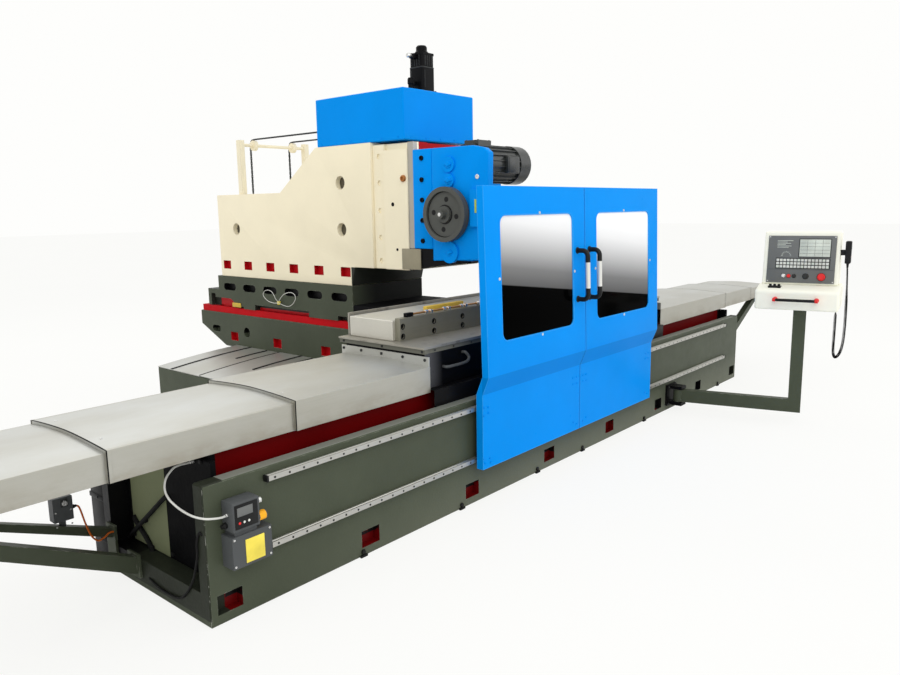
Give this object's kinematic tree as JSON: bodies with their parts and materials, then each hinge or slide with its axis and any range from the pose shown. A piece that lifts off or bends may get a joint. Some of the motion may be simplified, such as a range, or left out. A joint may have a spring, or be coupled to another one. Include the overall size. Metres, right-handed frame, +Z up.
{
  "type": "rack milling machine",
  "caption": "Rack milling machine: long bed with sliding table under telescopic covers, cross bed with column and milling head, sliding guard doors and a swivel console.",
  "frame": {"origin": "centre of the bed's underside, on the floor", "axes": "+X to the right along the bed, +Y from the guard doors back to the column, +Z up"},
  "size_m": [8.13, 5.2363, 2.885],
  "materials": {
    "casting": "semi-gloss machine enamel on cast iron",
    "red": "red enamel on unmachined casting",
    "blue": "powder coated sheet and castings",
    "cream": "cream enamel",
    "stainless": "brushed stainless sheet",
    "steel": "ground steel",
    "black": "black paint and black plastic",
    "grey": "grey paint",
    "window": "dark safety glass",
    "hose": "pale plastic hose",
    "cable": "black curly cord",
    "orange": "orange switch cable"
  },
  "bodies": {
    "root": {"bed_casting": "casting", "inner_bed": "red", "rail_lower": "steel", "rail_upper": "steel", "rear_base": "casting", "rear_cover_left": "stainless", "rear_cover_right": "stainless", "cross_bed": "casting", "cross_ways": "red", "apron_2": "black", "cover_left_3": "stainless", "cover_right_3": "stainless", "cover_support_left": "casting", "cover_support_right": "casting", "lubrication_pump": "grey", "pump_hose": "hose", "console_bracket": "casting", "limit_switch": "grey", "switch_cable": "orange"},
    "table": {"table": "black", "tray": "stainless", "fixture_block": "steel", "fixture_jaw": "steel", "cover_left_1": "stainless", "cover_right_1": "stainless"},
    "cover_left_mid": {"cover_left_2": "stainless"},
    "cover_right_mid": {"cover_right_2": "stainless"},
    "saddle": {"saddle": "casting", "apron_1": "black", "column": "cream", "column_front": "cream", "column_ways": "steel", "drive_cover": "blue", "lift_motor": "black", "chain_frame": "cream", "chain_left": "black", "chain_right": "black"},
    "head": {"head_slide": "blue", "gear_housing": "blue", "spindle_motor": "grey", "head_skirt": "black"},
    "wheel": {"flywheel": "grey"},
    "arbor": {"cutter_arbor": "steel"},
    "door_left": {"door_left": "blue", "window_left": "window", "handle_left": "black", "runner_left": "casting"},
    "door_right": {"door_right": "blue", "window_right": "window", "handle_right": "black", "runner_right": "casting"},
    "console": {"console_arm": "casting", "console_desk": "cream", "console_cabinet": "cream", "console_panel": "grey", "console_handle": "black", "pendant": "black", "pendant_cord": "cable", "cord_gland": "black"}
  },
  "joints": [
    {"name": "table_travel", "type": "slide", "parent": "root", "child": "table", "axis": [1, 0, 0], "range_m": [-0.6, 0.6]},
    {"name": "cover_left_travel", "type": "slide", "parent": "root", "child": "cover_left_mid", "axis": [1, 0, 0], "range_m": [-0.31, 0.31]},
    {"name": "cover_right_travel", "type": "slide", "parent": "root", "child": "cover_right_mid", "axis": [1, 0, 0], "range_m": [-0.31, 0.31]},
    {"name": "saddle_travel", "type": "slide", "parent": "root", "child": "saddle", "axis": [0, 1, 0], "range_m": [-0.1, 0.3]},
    {"name": "head_travel", "type": "slide", "parent": "saddle", "child": "head", "axis": [0, 0, 1], "range_m": [-0.19, 0.1]},
    {"name": "flywheel_spin", "type": "hinge", "parent": "head", "child": "wheel", "pos_m": [-0.405, 0.375, 1.631], "axis": [1, 0, 0], "continuous": true},
    {"name": "arbor_spin", "type": "hinge", "parent": "head", "child": "arbor", "pos_m": [0, 0.375, 1.372], "axis": [1, 0, 0], "continuous": true},
    {"name": "door_left_travel", "type": "slide", "parent": "root", "child": "door_left", "axis": [1, 0, 0], "range_m": [-1.35, 0]},
    {"name": "door_right_travel", "type": "slide", "parent": "root", "child": "door_right", "axis": [1, 0, 0], "range_m": [0, 1.3]},
    {"name": "console_swing", "type": "hinge", "parent": "root", "child": "console", "pos_m": [1.415, -0.515, 0.08], "axis": [0, 0, 1], "range_deg": [-35, 25]}
  ],
  "couplings": [
    {"joint": "cover_left_travel", "follows": "table_travel", "ratio": 0.5},
    {"joint": "cover_right_travel", "follows": "table_travel", "ratio": 0.5},
    {"joint": "arbor_spin", "follows": "flywheel_spin", "ratio": 0.5}
  ]
}
